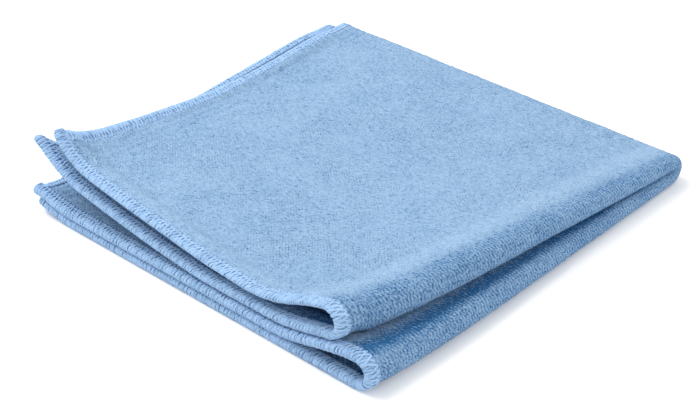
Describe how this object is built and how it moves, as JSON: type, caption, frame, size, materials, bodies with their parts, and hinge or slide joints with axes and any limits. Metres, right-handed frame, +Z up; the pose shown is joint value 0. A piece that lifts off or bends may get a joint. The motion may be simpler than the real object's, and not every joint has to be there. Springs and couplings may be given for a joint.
{
  "type": "polishing cloth",
  "caption": "Square terry knit polishing cloth with an overlocked hem, folded in half twice, its first folds puffed open and its free corner curled up.",
  "frame": {"origin": "centre of the box that the folded cloth fills, on the surface it rests on", "axes": "+Z up through the four layers; +X towards the first folds; +Y towards the second fold, away from the open front"},
  "size_m": [0.203, 0.1996, 0.0487],
  "materials": {
    "terry": "looped microfibre pile, matt with a soft sheen",
    "hem_thread": "overlocked textured thread, matt"
  },
  "bodies": {
    "lower_half": {"panel_bottom": "terry", "panel_second": "terry", "first_fold_lower": "terry", "hem_front_bottom": "hem_thread", "hem_front_second": "hem_thread", "hem_front_lower_loop": "hem_thread", "hem_side_bottom": "hem_thread", "hem_side_second": "hem_thread", "second_fold_outer": "terry", "second_fold_inner": "terry", "second_fold_corner": "terry", "hem_side_fold_outer": "hem_thread", "hem_side_fold_inner": "hem_thread"},
    "upper_half": {"panel_third": "terry", "panel_top": "terry", "first_fold_upper": "terry", "hem_front_third": "hem_thread", "hem_front_top": "hem_thread", "hem_front_upper_loop": "hem_thread", "hem_side_third": "hem_thread", "hem_side_top": "hem_thread"}
  },
  "joints": [
    {"name": "second_fold", "type": "hinge", "parent": "lower_half", "child": "upper_half", "pos_m": [0, 0.09846, 0.0069], "axis": [-1, 0, 0], "range_deg": [0, 170], "deforming": ["second_fold_outer", "second_fold_inner", "second_fold_corner", "hem_side_fold_outer", "hem_side_fold_inner"]}
  ]
}
